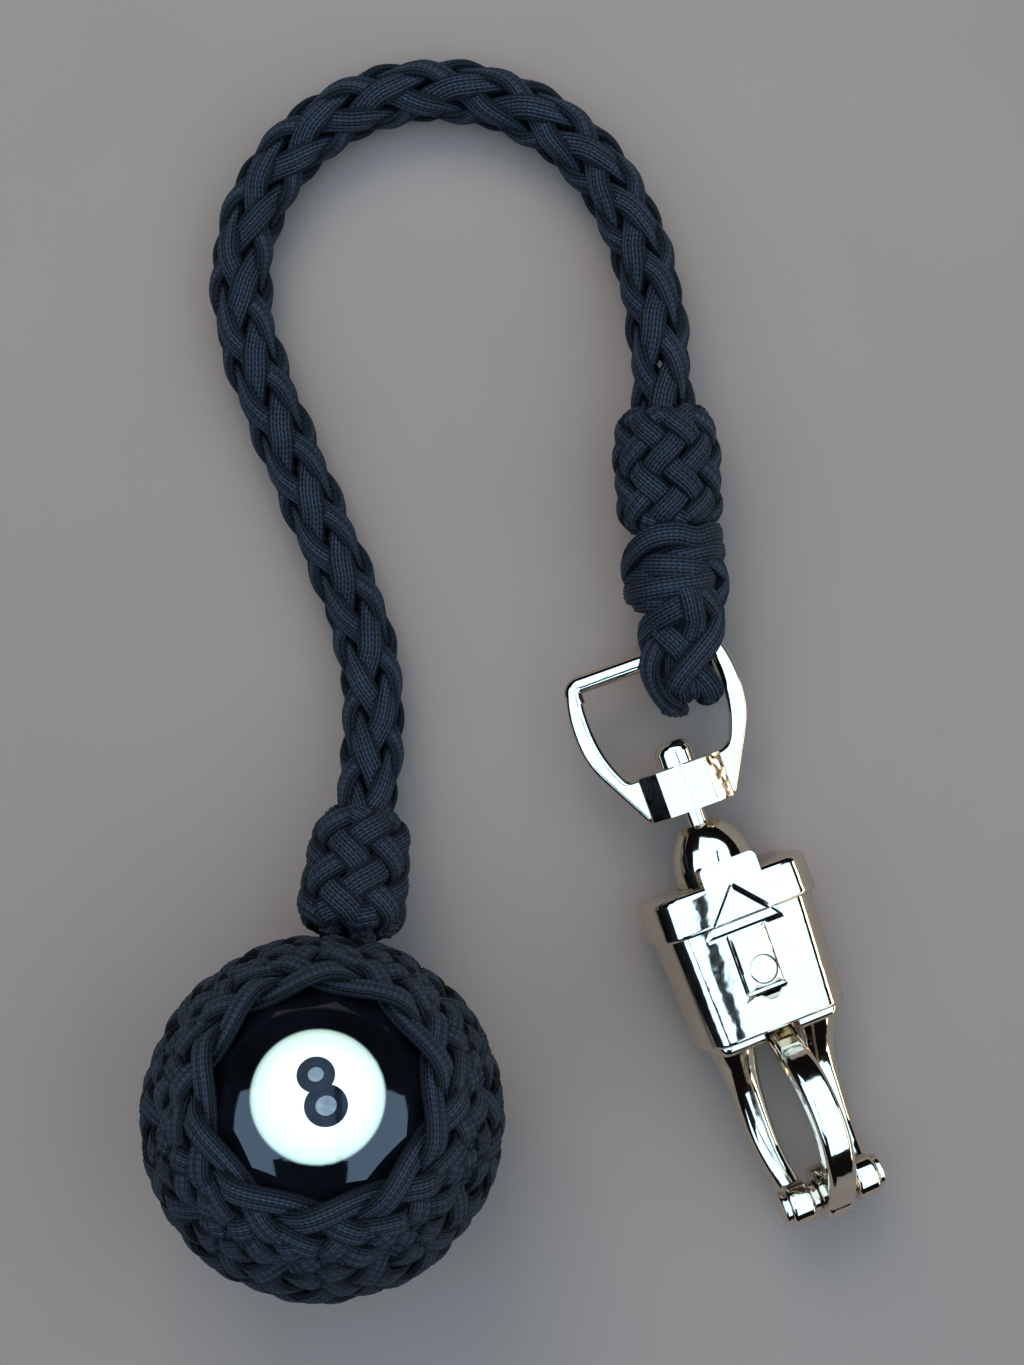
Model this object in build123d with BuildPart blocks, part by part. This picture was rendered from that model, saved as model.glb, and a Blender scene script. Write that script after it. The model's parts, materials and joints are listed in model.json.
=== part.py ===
from build123d import *
from math import cos, degrees, radians, sin, sqrt, tan
import os

os.makedirs("parts", exist_ok=True)

# A pool ball in a knotted cord cover, on a braided lanyard that ends in a swivel eye and a
# quick-release snap. The object lies on a flat surface at z = 0, with the ball resting on
# the origin. Lengths are in millimetres and angles in degrees.

# Ball
ball_diameter = 57.15
spot_diameter = 23.2
spot_thickness = 0.8
lean = 17.0
exit_azimuth = 83.1

# Knotted cover
cover_thickness = 3.7
window_angle = 43.0
cover_edge_radius = 1.7

# Lanyard and its knots
lanyard_diameter = 12.0
neck_length = 2.4
lower_knot_length = 22.0
lower_knot_radii = (10.1, 9.7, 9.0)
upper_knot_length = 23.8
upper_knot_radii = (9.5, 10.2, 9.8)
stopper_length = 13.6
stopper_radii = (9.2, 9.6, 9.0)
knot_rounding = 2.0
knot_heading = -86.4
exit_run = 12.0
entry_run = 15.0
floor_gap = 0.05

# End loop, a strap of braid folded round the bar of the swivel eye
loop_width = 11.0
loop_length = 19.7
loop_depth = 13.6
loop_slot_depth = 4.4
loop_slot_start = 2.6
loop_slot_end = 6.4
loop_shift = 2.3

# Swivel eye
swivel_x = 67.7
swivel_y = 52.3
snap_heading = -70.3
eye_bar_diameter = 3.4
eye_bar_reach = -30.4
eye_bar_lap = -27.0
eye_thickness = 3.4
eye_corner_radius = 1.6
eye_edge_radius = 1.1
eye_foot_radius = 1.2
eye_opening_radii = (1.0, 3.2)
eye_opening_foot = 9.6
boss_length = 8.5
boss_foot_half_width = 8.6
boss_gap = 1.9
boss_crease_radius = 0.8
# Half outline of the eye's arm and of its opening: reach along the snap, offset to the side
eye_arm = [(-29.0, 15.3), (-26.0, 16.0), (-21.0, 16.3), (-15.2, 15.4), (-10.5, 13.2), (-6.0, 10.8)]
eye_opening = [(-29.0, 12.4), (-26.0, 12.8), (-21.0, 12.8), (-15.2, 11.7)]
# Quarter section of the boss across the snap: offset to the side, height above the eye's middle
boss_section = [(8.0, 0), (8.0, 1.9), (4.5, 5.1), (0, 5.6)]

# Swivel post
post_radius = 1.85
post_running_gap = 0.1
post_head_radius = 3.6
post_head_height = 4.5
post_head_rounding = 2.2
post_end_play = 0.15
post_seat_depth = 6.0

# Snap frame: dome, core, yoke and two prongs in one casting
snap_roll = 13.0
dome_start = 1.0
dome_top_radius = 3.9
dome_radius = 7.5
dome_length = 9.6
dome_shoulder_reach = 4.84
dome_shoulder_radius = 6.5
core_half_depth = 6.3
yoke_start = 31.3
yoke_end = 42.5
yoke_half_width = 12.2
yoke_rounding = 2.4
yoke_end_rounding = 1.6
channel_half_width = 3.6
channel_floor = 0.4
slot_wall = 3.0
slot_floor = -2.0
hinge_reach = 72.8
knuckle_radius = 4.0
knuckle_width = 4.6
knuckle_offset = 6.7
knuckle_rounding = 0.9
prong_rounding = 0.44
# Each prong section: reach along the snap, offset to the side, width, height of its middle,
# depth. Its corners are rounded by a share of its thinner side.
prong_sections = (
    (40.5, 8.0, 7.6, -0.4, 10.4),
    (44.5, 8.1, 7.2, -1.4, 8.8),
    (48.5, 7.8, 6.2, -3.0, 6.8),
    (54.0, 7.6, 5.6, -4.4, 5.4),
    (60.0, 7.5, 5.2, -4.8, 5.0),
    (67.0, 7.0, 4.6, -3.0, 5.2),
    (72.8, 6.7, 4.2, 0.0, 5.6),
)

# Sliding sleeve
sleeve_start = 11.4
flange_length = 8.0
sleeve_length = 29.1
flange_width = 31.0
flange_depth = 17.8
sleeve_top_width = 29.2
sleeve_top_depth = 16.8
sleeve_foot_width = 27.4
sleeve_foot_depth = 16.2
sleeve_corner_radius = 4.6
sleeve_gap = 0.2
sleeve_edge_radius = 0.8
flange_rim_radius = 1.6
tab_width = 11.2
tab_height = 3.2
tab_corner_radius = 1.3
sleeve_travel = 8.0
guide_reach = 29.3
guide_radius = 1.5
guide_head_radius = 2.75
guide_head_thickness = 0.9
guide_head_recess = 0.3
guide_head_rounding = 0.5
guide_slot_gap = 0.15
guide_end_gap = 0.2
guide_tip_gap = 1.0

# Return spring in the slot of the core
spring_radius = 1.35
spring_wire_radius = 0.2
spring_turns = 7
spring_front = 2.2
spring_pressed_length = 5.3
spring_end_gap = 0.1

# Hook jaw and its pin
jaw_width = 5.6
jaw_eye_radius = 5.3
jaw_engagement = 0.9
jaw_tongue_lead = 0.4
jaw_edge_radius = 1.2
pin_radius = 1.55
pin_running_gap = 0.1
pin_head_radius = 3.1
pin_head_thickness = 1.2
spacer_radius = 2.9
collar_rounding = 0.35
spacer_gap = 0.1
# The jaw's side view, from the tongue to the eye: the outer back and the inner belly
jaw_back = [(0, 3.9), (42.6, 6.2), (46.5, 11.0), (53.0, 15.2), (61.0, 16.0), (69.0, 12.2), (75.6, 4.5)]
jaw_belly = [(0, 1.6), (44.0, 3.4), (48.5, 7.4), (54.5, 10.9), (61.0, 11.4), (66.5, 8.2), (69.4, 3.0)]

# Frames of reference
ball_radius = ball_diameter / 2
cover_radius = ball_radius + cover_thickness
ball_centre = Vector(0, 0, ball_radius)
exit_flat = Vector(cos(radians(exit_azimuth)), sin(radians(exit_azimuth)), 0)
pole = Vector(0, 0, 1) * cos(radians(lean)) + exit_flat * sin(radians(lean))
exit_way = exit_flat * cos(radians(lean)) - Vector(0, 0, 1) * sin(radians(lean))
side_way = exit_flat.cross(Vector(0, 0, 1))
pole_plane = Plane(origin=ball_centre, x_dir=side_way, z_dir=pole)
pole_meridian = Plane(origin=ball_centre, x_dir=side_way, z_dir=side_way.cross(pole))
exit_plane = Plane(origin=ball_centre, x_dir=side_way, z_dir=exit_way)

# The snap lies on the corner of its rolled flange, which sets the height of its axis.
roll_sin = sin(radians(snap_roll))
roll_cos = cos(radians(snap_roll))
flange_core_width = flange_width / 2 - sleeve_corner_radius
flange_core_depth = flange_depth / 2 - sleeve_corner_radius
axis_height = flange_core_width * roll_sin + flange_core_depth * roll_cos + sleeve_corner_radius
snap_way = Vector(cos(radians(snap_heading)), sin(radians(snap_heading)), 0)
cross_way = Vector(0, 0, 1).cross(snap_way)
front_way = Vector(0, 0, 1) * roll_cos + cross_way * roll_sin
swivel_point = Vector(swivel_x, swivel_y, axis_height)
guide_head_base = sleeve_top_depth / 2 - guide_head_recess - guide_head_thickness
eye_plane = Plane(origin=swivel_point, x_dir=snap_way, z_dir=Vector(0, 0, 1))
snap_plane = Plane(origin=swivel_point, x_dir=snap_way, z_dir=front_way)
snap_side = snap_plane.y_dir
hinge_point = snap_plane.from_local_coords(Vector(hinge_reach, 0, 0))


def across(reach, frame=snap_plane):
    """The plane across the snap's axis at a reach along it: x to the side, y to the front."""
    return Plane(origin=frame.from_local_coords(Vector(reach, 0, 0)), x_dir=frame.y_dir, z_dir=frame.x_dir)


def along(offset, frame=snap_plane):
    """The plane of the snap's side view at an offset to the side: x along its axis, y to the front."""
    return Plane(origin=frame.from_local_coords(Vector(0, offset, 0)), x_dir=frame.x_dir, z_dir=-frame.y_dir)


def turned_barrel(start, way, length, radii):
    """A barrel turned about its axis: the outer envelope of a woven knot."""
    radial = way.cross(Vector(0, 0, 1)).normalized()
    with BuildPart() as barrel:
        with BuildSketch(Plane(origin=start, x_dir=radial, z_dir=radial.cross(way))) as half:
            with BuildLine():
                flank = ThreePointArc((radii[0], 0), (radii[1], length / 2), (radii[2], length))
                Polyline(flank @ 1, (0, length), (0, 0), flank @ 0)
            make_face()
            fillet(half.vertices().sort_by(Axis.X)[-2:], knot_rounding)
        revolve(axis=Axis(start, way))
    return barrel.part


def save(part, name):
    """Labels a finished piece and writes it."""
    part.label = name
    export_step(part, f"parts/{name}.step")


# Ball and the number spots let into it
spot_seat = sqrt(ball_radius**2 - (spot_diameter / 2) ** 2) - spot_thickness
with BuildPart() as ball_body:
    with Locations(ball_centre):
        Sphere(ball_radius)
    for way in (1, -1):
        with BuildSketch(pole_plane.offset(way * spot_seat)):
            Circle(spot_diameter / 2)
        extrude(amount=way * ball_radius, mode=Mode.SUBTRACT)
save(ball_body.part, "ball_body")

for name, way in (("number_spot_front", 1), ("number_spot_back", -1)):
    with BuildPart() as number_spot:
        with Locations(ball_centre):
            Sphere(ball_radius)
        with BuildSketch(pole_plane.offset(way * spot_seat)):
            Circle(spot_diameter / 2)
        extrude(amount=way * ball_radius, mode=Mode.INTERSECT)
    save(number_spot.part, name)

# Knotted cover, open at both ends of the ball's pole
with BuildPart() as ball_cover:
    with BuildSketch(pole_meridian) as cover_half:
        with BuildLine():
            outer = CenterArc((0, 0), cover_radius, window_angle - 90, 180 - 2 * window_angle)
            inner = CenterArc((0, 0), ball_radius, window_angle - 90, 180 - 2 * window_angle)
            Line(outer @ 0, inner @ 0)
            Line(outer @ 1, inner @ 1)
        make_face()
        fillet(cover_half.vertices(), cover_edge_radius)
    revolve(axis=Axis(ball_centre, pole))
save(ball_cover.part, "ball_cover")

with BuildPart() as cover_neck:
    with BuildSketch(exit_plane.offset(ball_radius)):
        Circle(lanyard_diameter / 2)
    extrude(amount=cover_thickness + neck_length)
    with Locations(ball_centre):
        Sphere(cover_radius, mode=Mode.SUBTRACT)
save(cover_neck.part, "cover_neck")

# Knots and the braid between them
lower_knot_start = ball_centre + exit_way * (cover_radius + neck_length)
lanyard_start = lower_knot_start + exit_way * lower_knot_length
save(turned_barrel(lower_knot_start, exit_way, lower_knot_length, lower_knot_radii), "lower_knot")

braid_height = lanyard_diameter / 2
knot_height = upper_knot_radii[1] + floor_gap
knot_way = Vector(cos(radians(knot_heading)), sin(radians(knot_heading)), 0)
upper_knot_start = Vector(61.6, 128.4, knot_height)
route = [
    lanyard_start,
    lanyard_start + exit_way * exit_run,
    Vector(7.7, 78.6, braid_height + 0.6),
    Vector(4.6, 91.0, braid_height),
    Vector(-0.8, 104.0, braid_height),
    Vector(-6.7, 117.8, braid_height),
    Vector(-12.3, 131.4, braid_height),
    Vector(-16.8, 144.4, braid_height),
    Vector(-17.1, 158.2, braid_height),
    Vector(-12.2, 171.2, braid_height),
    Vector(-2.3, 181.7, braid_height),
    Vector(10.9, 187.5, braid_height),
    Vector(25.4, 188.0, braid_height),
    Vector(39.0, 183.2, braid_height),
    Vector(50.4, 173.4, braid_height),
    Vector(57.6, 159.0, braid_height + 1.4),
    upper_knot_start - knot_way * entry_run,
    upper_knot_start,
]
radii = []
for before, corner, after in zip(route, route[1:], route[2:]):
    turn = (corner - before).get_angle(after - corner)
    shorter_run = min((corner - before).length, (after - corner).length)
    radii.append(0.45 * shorter_run / tan(radians(turn) / 2))
print("lanyard radii", [round(radius, 1) for radius in radii])

with BuildPart() as lanyard_braid:
    with BuildLine() as lanyard_path:
        FilletPolyline(*route, radius=radii)
    with BuildSketch(Plane(origin=route[0], z_dir=exit_way)):
        Circle(lanyard_diameter / 2)
    sweep(path=lanyard_path.wires()[0])
print("lanyard length", round(lanyard_path.wires()[0].length, 1))
save(lanyard_braid.part, "lanyard_braid")

save(turned_barrel(upper_knot_start, knot_way, upper_knot_length, upper_knot_radii), "upper_knot")
stopper_start = upper_knot_start + knot_way * upper_knot_length
save(turned_barrel(stopper_start, knot_way, stopper_length, stopper_radii), "stopper_knot")

# End loop: a flat bight of braid with the eye's bar through its slot
loop_start = stopper_start + knot_way * stopper_length
loop_side = Vector(0, 0, 1).cross(knot_way)
loop_origin = Vector(loop_start.X, loop_start.Y, axis_height) + loop_side * (-loop_shift - loop_width / 2)
with BuildPart() as end_loop:
    with BuildSketch(Plane(origin=loop_origin, x_dir=knot_way, z_dir=loop_side)):
        with BuildLine():
            top = Line((0, loop_depth / 2), (loop_length - loop_depth / 2, loop_depth / 2))
            fold = RadiusArc(top @ 1, (loop_length - loop_depth / 2, -loop_depth / 2), loop_depth / 2)
            Polyline(fold @ 1, (0, -loop_depth / 2), top @ 0)
        make_face()
        slot_length = loop_length - loop_slot_start - loop_slot_end
        with Locations((loop_slot_start + slot_length / 2, 0)):
            SlotOverall(slot_length, loop_slot_depth, mode=Mode.SUBTRACT)
    extrude(amount=loop_width)
save(end_loop.part, "end_loop")

# Swivel eye: a straight bar, two bowed arms and a boss bored for the post
boss_top = -boss_gap - boss_length
bar_half_length = (eye_arm[0][1] + eye_opening[0][1]) / 2
bar_corners = [
    (eye_bar_lap, bar_half_length),
    (eye_bar_reach, bar_half_length),
    (eye_bar_reach, -bar_half_length),
    (eye_bar_lap, -bar_half_length),
]
with BuildPart() as swivel_eye:
    with BuildSketch(eye_plane.offset(-eye_thickness / 2)) as eye_outline:
        with BuildLine():
            arm = Spline(*eye_arm, (-boss_gap, boss_foot_half_width))
            Polyline(arm @ 1, (-boss_gap, 0))
            opening = Spline(*eye_opening, (boss_top, eye_opening_foot))
            Polyline(opening @ 1, (boss_top, 0))
            Line(arm @ 0, opening @ 0)
            mirror(about=Plane.XZ)
        make_face()
        fillet(eye_outline.vertices().sort_by(Axis.X)[-2:], eye_foot_radius)
        for side, radius in zip((0, -1), eye_opening_radii):
            boss_row = eye_outline.vertices().filter_by_position(
                Axis.X, boss_top - boss_gap, boss_top + boss_gap
            )
            fillet(boss_row.sort_by(Axis.Y)[side], radius)
    extrude(amount=eye_thickness)
    rim_edges = swivel_eye.faces().filter_by(Axis.Z).edges().sort_by(Axis(swivel_point, snap_way))
    fillet(rim_edges[4:], eye_edge_radius)
    with BuildLine() as bar_line:
        FilletPolyline(
            *[eye_plane.from_local_coords(Vector(*corner, 0)) for corner in bar_corners],
            radius=eye_corner_radius,
        )
    with BuildSketch(across(eye_bar_lap, eye_plane)):
        with Locations((bar_half_length, 0)):
            Circle(eye_bar_diameter / 2)
    sweep(path=bar_line.wires()[0])
    with BuildSketch(across(boss_top, eye_plane)) as boss_face:
        with BuildLine():
            Polyline(*boss_section)
            mirror(about=Plane.YZ)
            mirror(about=Plane.XZ)
        make_face()
        fillet(boss_face.vertices(), boss_crease_radius)
    extrude(amount=boss_length)
    with BuildSketch(across(boss_top, eye_plane)):
        Circle(post_radius + post_running_gap)
    extrude(amount=boss_length, mode=Mode.SUBTRACT)
save(swivel_eye.part, "swivel_eye")

# Swivel post, headed over the boss and seated in the dome
head_start = boss_top - post_end_play - post_head_height
with BuildPart() as swivel_post:
    with BuildSketch(across(head_start)):
        Circle(post_head_radius)
    extrude(amount=post_head_height)
    fillet(swivel_post.edges().sort_by(Axis(swivel_point, snap_way))[0], post_head_rounding)
    with BuildSketch(across(head_start + post_head_height)):
        Circle(post_radius)
    extrude(amount=dome_start + post_seat_depth - head_start - post_head_height)
save(swivel_post.part, "swivel_post")

# Snap frame
dome_end = dome_start + dome_length
slot_end = guide_reach + guide_radius + guide_end_gap
slot_start = guide_reach - sleeve_travel - guide_radius - spring_pressed_length
channel_start = slot_end + slot_wall
with BuildPart() as snap_frame:
    with BuildSketch(along(0)):
        with BuildLine():
            flank = ThreePointArc(
                (dome_start, dome_top_radius),
                (dome_shoulder_reach, dome_shoulder_radius),
                (dome_end, dome_radius),
            )
            Polyline(flank @ 1, (dome_end, 0), (dome_start, 0), flank @ 0)
        make_face()
    revolve(axis=Axis(swivel_point, snap_way))
    with BuildSketch(across(dome_end)):
        Circle(dome_radius)
        Rectangle(2 * dome_radius, 2 * core_half_depth, mode=Mode.INTERSECT)
    extrude(amount=yoke_start - dome_end)
    with BuildSketch(across(yoke_start)):
        RectangleRounded(2 * yoke_half_width, 2 * core_half_depth, yoke_rounding)
    extrude(amount=yoke_end - yoke_start)
    fillet(snap_frame.faces().sort_by(Axis(swivel_point, snap_way))[-1].edges(), yoke_end_rounding)
    with BuildSketch(across(channel_start)):
        with Locations((0, core_half_depth)):
            Rectangle(2 * channel_half_width, 2 * (core_half_depth - channel_floor))
    extrude(amount=yoke_end - channel_start, mode=Mode.SUBTRACT)
    for side in (1, -1):
        for reach, offset, width, front, depth in prong_sections:
            with BuildSketch(across(reach)):
                with Locations((side * offset, front)):
                    RectangleRounded(width, depth, min(width, depth) * prong_rounding)
        loft()
        with BuildSketch(across(hinge_reach)) as knuckle_half:
            with Locations((side * knuckle_offset, knuckle_radius / 2)):
                Rectangle(knuckle_width, knuckle_radius)
            fillet(knuckle_half.vertices().sort_by(Axis.Y)[-2:], knuckle_rounding)
        revolve(axis=Axis(hinge_point, snap_side))
    with BuildSketch(along(0)):
        with Locations((hinge_reach, 0)):
            Circle(pin_radius)
    extrude(amount=yoke_half_width, both=True, mode=Mode.SUBTRACT)
    with BuildSketch(snap_plane.offset(slot_floor)):
        with Locations(((slot_start + slot_end) / 2, 0)):
            SlotOverall(slot_end - slot_start, 2 * (guide_radius + guide_slot_gap))
    extrude(amount=core_half_depth - slot_floor, mode=Mode.SUBTRACT)
    with BuildSketch(across(dome_start)):
        Circle(post_radius)
    extrude(amount=post_seat_depth, mode=Mode.SUBTRACT)
save(snap_frame.part, "snap_frame")

# Sliding sleeve
tab_length = tab_height + flange_length / 2
with BuildPart() as sleeve:
    with BuildSketch(across(sleeve_start)):
        RectangleRounded(flange_width, flange_depth, sleeve_corner_radius)
    extrude(amount=flange_length)
    flange_ends = sleeve.faces().sort_by(Axis(swivel_point, snap_way))
    fillet(flange_ends[0].edges(), flange_rim_radius)
    fillet(flange_ends[-1].edges(), sleeve_edge_radius)
    with BuildSketch(across(sleeve_start + flange_length)):
        RectangleRounded(sleeve_top_width, sleeve_top_depth, sleeve_corner_radius)
    with BuildSketch(across(sleeve_start + sleeve_length)):
        RectangleRounded(sleeve_foot_width, sleeve_foot_depth, sleeve_corner_radius)
    loft()
    fillet(
        sleeve.faces().sort_by(Axis(swivel_point, snap_way))[-1].edges(),
        sleeve_edge_radius,
    )
    with BuildSketch(snap_plane):
        with Locations((sleeve_start - tab_height + tab_length / 2, 0)):
            RectangleRounded(tab_length, tab_width, tab_corner_radius)
    extrude(amount=flange_depth / 2)
    with BuildSketch(across(sleeve_start - tab_height)):
        Circle(dome_radius + sleeve_gap)
    extrude(amount=tab_height + flange_length, mode=Mode.SUBTRACT)
    with BuildSketch(across(sleeve_start + flange_length)):
        RectangleRounded(
            2 * (yoke_half_width + sleeve_gap),
            2 * (core_half_depth + sleeve_gap),
            yoke_rounding + sleeve_gap,
        )
    extrude(amount=sleeve_length - flange_length, mode=Mode.SUBTRACT)
    with BuildSketch(snap_plane):
        with Locations((guide_reach, 0)):
            Circle(guide_radius)
    extrude(amount=flange_depth, mode=Mode.SUBTRACT)
    with BuildSketch(snap_plane.offset(guide_head_base)):
        with Locations((guide_reach, 0)):
            Circle(guide_head_radius)
    extrude(amount=flange_depth, mode=Mode.SUBTRACT)
save(sleeve.part, "sleeve")

with BuildPart() as guide_pin:
    with BuildSketch(snap_plane.offset(slot_floor + guide_tip_gap)):
        with Locations((guide_reach, 0)):
            Circle(guide_radius)
    extrude(amount=guide_head_base - slot_floor - guide_tip_gap)
    with BuildSketch(snap_plane.offset(guide_head_base)):
        with Locations((guide_reach, 0)):
            Circle(guide_head_radius)
    extrude(amount=guide_head_thickness)
    fillet(guide_pin.edges().sort_by(Axis(swivel_point, front_way))[-1], guide_head_rounding)
save(guide_pin.part, "guide_pin")

# Return spring between the end of the slot and the guide pin
spring_start = slot_start + spring_radius
spring_end = guide_reach - guide_radius - spring_wire_radius - spring_end_gap
spring_height = spring_end - spring_start
with BuildPart() as return_spring:
    with BuildLine() as spring_path:
        Helix(
            spring_height / spring_turns,
            spring_height,
            spring_radius - spring_wire_radius,
            center=snap_plane.from_local_coords(Vector(spring_start, 0, spring_front)),
            direction=snap_way,
        )
    with BuildSketch(Plane(origin=spring_path.wires()[0] @ 0, z_dir=spring_path.wires()[0] % 0)):
        Circle(spring_wire_radius)
    sweep(path=spring_path.wires()[0])
save(return_spring.part, "return_spring")

# Hook jaw, hinged at the far end, its tongue held behind the mouth of the sleeve
tongue_start = sleeve_start + sleeve_length - jaw_engagement
with BuildPart() as hook_jaw:
    with BuildSketch(along(jaw_width / 2)):
        with BuildLine():
            back = Spline(*[(tongue_start + jaw_tongue_lead, jaw_back[0][1])] + jaw_back[1:])
            belly = Spline(*[(tongue_start + jaw_tongue_lead, jaw_belly[0][1])] + jaw_belly[1:])
            Line(back @ 0, belly @ 0)
            Line(back @ 1, belly @ 1)
        make_face()
        with Locations((hinge_reach, 0)):
            Circle(jaw_eye_radius)
    extrude(amount=jaw_width)
    fillet(hook_jaw.faces().filter_by(Axis(swivel_point, snap_side)).edges(), jaw_edge_radius)
    with BuildSketch(along(jaw_width / 2)):
        with Locations((hinge_reach, 0)):
            Circle(pin_radius + pin_running_gap)
    extrude(amount=jaw_width, mode=Mode.SUBTRACT)
save(hook_jaw.part, "hook_jaw")

# Jaw pin, its peened washer and the two spacers beside the jaw
pin_end = knuckle_offset + knuckle_width / 2


def collar(inner, outer, start, thickness, name):
    """A ring on the jaw pin, starting at an offset to the side."""
    with BuildPart() as ring:
        with BuildSketch(along(start + thickness)):
            with Locations((hinge_reach, 0)):
                Circle(outer)
                Circle(inner, mode=Mode.SUBTRACT)
        extrude(amount=thickness)
        fillet(ring.edges().filter_by(GeomType.CIRCLE).sort_by(SortBy.RADIUS)[-2:], collar_rounding)
    save(ring.part, name)


with BuildPart() as jaw_pin:
    with BuildSketch(along(pin_end + pin_head_thickness)):
        with Locations((hinge_reach, 0)):
            Circle(pin_radius)
    extrude(amount=2 * pin_end + pin_head_thickness)
    with BuildSketch(along(-pin_end)):
        with Locations((hinge_reach, 0)):
            Circle(pin_head_radius)
    extrude(amount=pin_head_thickness)
    fillet(jaw_pin.edges().sort_by(Axis(swivel_point, snap_side))[0], pin_head_thickness / 2)
save(jaw_pin.part, "jaw_pin")

collar(pin_radius, pin_head_radius, pin_end, pin_head_thickness, "jaw_pin_washer")
spacer_start = jaw_width / 2 + spacer_gap
spacer_length = knuckle_offset - knuckle_width / 2 - spacer_start
collar(pin_radius, spacer_radius, spacer_start, spacer_length, "spacer_right")
collar(pin_radius, spacer_radius, -spacer_start - spacer_length, spacer_length, "spacer_left")
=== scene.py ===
import json
import math

import bmesh
import bpy
import numpy as np
from mathutils import Matrix, Vector


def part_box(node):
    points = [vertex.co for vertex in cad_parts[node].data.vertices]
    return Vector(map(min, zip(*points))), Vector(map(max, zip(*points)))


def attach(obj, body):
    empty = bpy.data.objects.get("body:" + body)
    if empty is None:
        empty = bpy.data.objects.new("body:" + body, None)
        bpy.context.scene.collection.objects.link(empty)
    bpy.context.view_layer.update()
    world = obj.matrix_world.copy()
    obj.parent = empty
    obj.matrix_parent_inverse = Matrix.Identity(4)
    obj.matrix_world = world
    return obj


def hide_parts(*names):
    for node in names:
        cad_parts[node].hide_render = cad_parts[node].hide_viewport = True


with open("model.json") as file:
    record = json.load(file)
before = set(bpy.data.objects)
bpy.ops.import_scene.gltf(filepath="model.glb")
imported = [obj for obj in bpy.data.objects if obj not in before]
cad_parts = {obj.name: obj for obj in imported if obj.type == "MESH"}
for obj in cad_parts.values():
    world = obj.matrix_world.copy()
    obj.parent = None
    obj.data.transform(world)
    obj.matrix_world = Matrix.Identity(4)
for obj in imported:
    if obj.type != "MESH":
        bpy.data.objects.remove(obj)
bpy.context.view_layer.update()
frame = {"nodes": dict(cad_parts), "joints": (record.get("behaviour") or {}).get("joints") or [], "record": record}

# A pool ball in a knotted cover of flattened nylon cord, on a braided lanyard with two woven
# knots, a stopper knot, an end loop, a swivel eye and a quick-release snap. Lengths are in metres.

MM = 0.001
UP = Vector((0, 0, 1))

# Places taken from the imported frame
joints = {joint["name"]: joint for joint in frame["joints"]}
ball_low, ball_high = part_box("ball_body")
BALL_RADIUS = (ball_high.x - ball_low.x) / 2
BALL_CENTRE = Vector((0, 0, BALL_RADIUS))
SWIVEL = Vector(joints["swivel_turn"]["pos_m"])
SNAP_WAY = Vector(joints["swivel_turn"]["axis"])
SNAP_SIDE = Vector(joints["jaw_swing"]["axis"])
SNAP_FRONT = SNAP_WAY.cross(SNAP_SIDE)
BAR = Vector(joints["eye_tilt"]["pos_m"])

# The ball's pole leans towards the lanyard, which leaves the ball square to that pole
LEAN = math.radians(17.0)
EXIT_AZIMUTH = math.radians(83.1)
EXIT_FLAT = Vector((math.cos(EXIT_AZIMUTH), math.sin(EXIT_AZIMUTH), 0))
POLE = UP * math.cos(LEAN) + EXIT_FLAT * math.sin(LEAN)
EXIT_WAY = EXIT_FLAT * math.cos(LEAN) - UP * math.sin(LEAN)

# Lengths along the cord, and the place and heading of the knots at its far end
COVER_THICKNESS = 3.7 * MM
NECK_LENGTH = 2.4 * MM
LOWER_KNOT_LENGTH = 22.0 * MM
UPPER_KNOT_LENGTH = 23.8 * MM
STOPPER_LENGTH = 13.6 * MM
KNOT_HEADING = math.radians(-86.4)
KNOT_WAY = Vector((math.cos(KNOT_HEADING), math.sin(KNOT_HEADING), 0))
UPPER_KNOT_START = Vector((0.0616, 0.1284, 0.01025))


# Materials


def linear(colour, alpha=1.0):
    """Turns an sRGB hex colour such as "2A3440" to linear red, green, blue and alpha."""
    parts = [int(colour[place : place + 2], 16) / 255 for place in (0, 2, 4)]
    return tuple(p / 12.92 if p <= 0.04045 else ((p + 0.055) / 1.055) ** 2.4 for p in parts) + (alpha,)


def add_node(tree, kind, settings=None, inputs=None):
    """Adds a node with its settings. An input is filled with a value or linked from a socket."""
    node = tree.nodes.new("ShaderNode" + kind)
    for name, value in (settings or {}).items():
        setattr(node, name, value)
    for name, value in (inputs or {}).items():
        if isinstance(value, bpy.types.NodeSocket):
            tree.links.new(value, node.inputs[name])
        else:
            node.inputs[name].default_value = value
    return node


def set_stops(ramp_node, stops):
    """Gives a colour ramp its stops, a list of place and hex colour."""
    elements = ramp_node.color_ramp.elements
    while len(elements) < len(stops):
        elements.new(0.5)
    for element, (place, colour) in zip(elements, stops):
        element.position = place
        element.color = linear(colour)


def new_material(name, **shader_values):
    """A material whose principled shader has these values, with its node tree and shader."""
    material = bpy.data.materials.new(name)
    material.use_nodes = True
    tree = material.node_tree
    shader = tree.nodes["Principled BSDF"]
    for socket, value in shader_values.items():
        shader.inputs[socket.replace("_", " ")].default_value = value
    return material, tree, shader


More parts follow.
